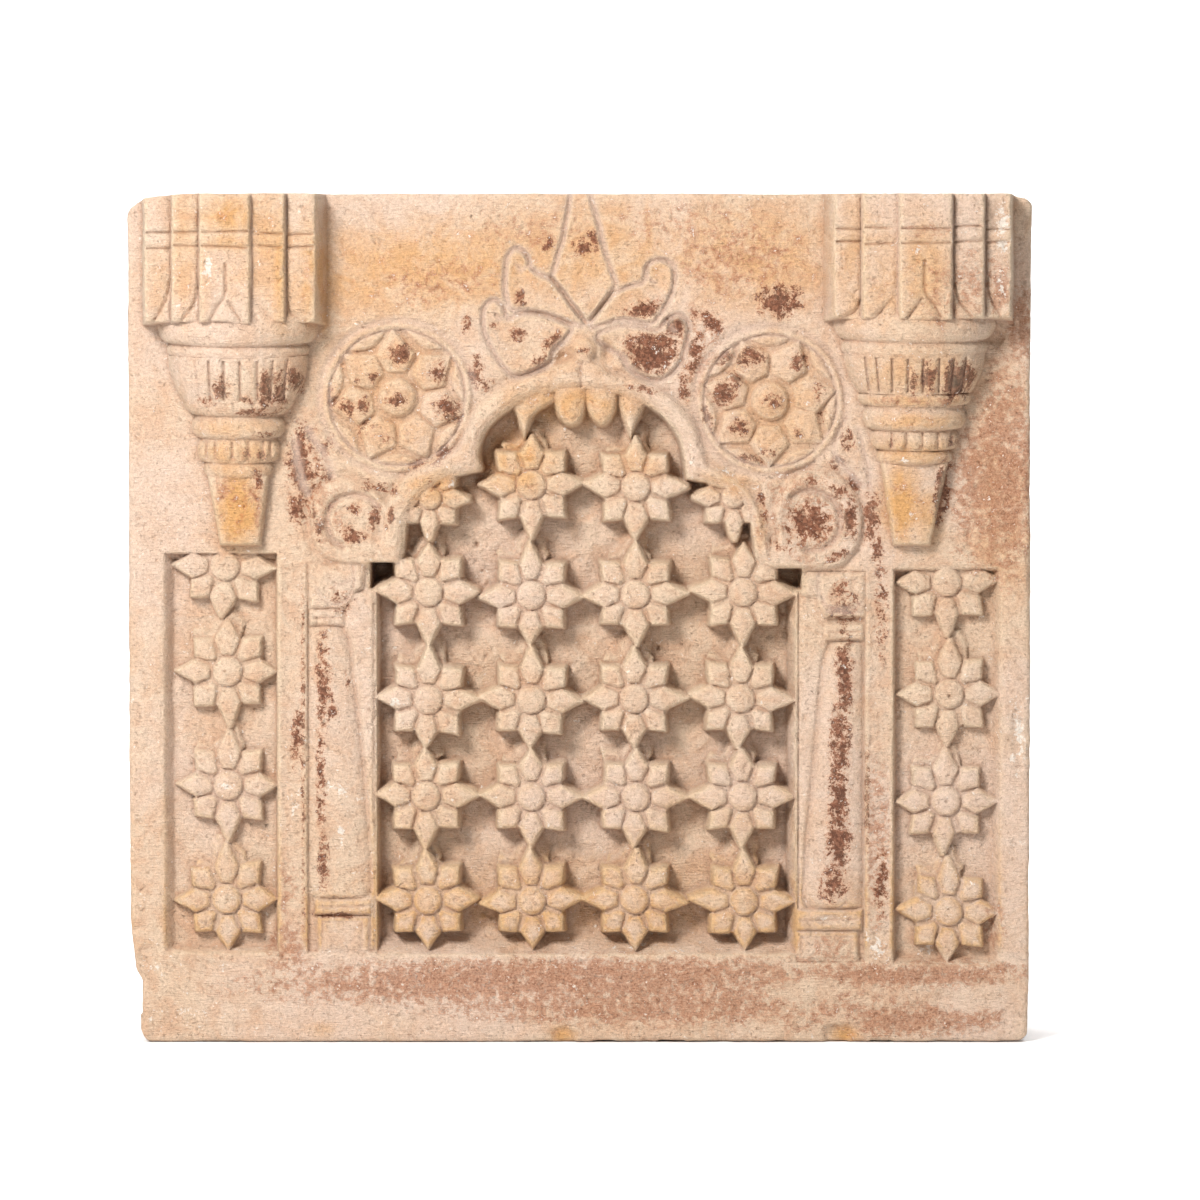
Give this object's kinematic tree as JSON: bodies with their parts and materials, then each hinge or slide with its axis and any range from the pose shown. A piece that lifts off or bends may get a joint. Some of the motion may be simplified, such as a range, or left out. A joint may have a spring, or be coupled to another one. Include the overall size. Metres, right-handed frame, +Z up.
{
  "type": "stone relief panel",
  "caption": "Carved sandstone niche panel: a cusped arch over a lattice of flowers, with jamb columns, side beds of flowers, medallions, a leaf finial and stepped corbels.",
  "frame": {"origin": "middle of the underside, under the centre of the whole outline", "axes": "+X to the right seen from the carved front, -Y out of the carved front, +Z up"},
  "size_m": [0.6, 0.141, 0.565],
  "materials": {
    "sandstone": "hand-cut, weathered, matt"
  },
  "bodies": {
    "root": {"relief_panel": "sandstone"}
  },
  "joints": []
}
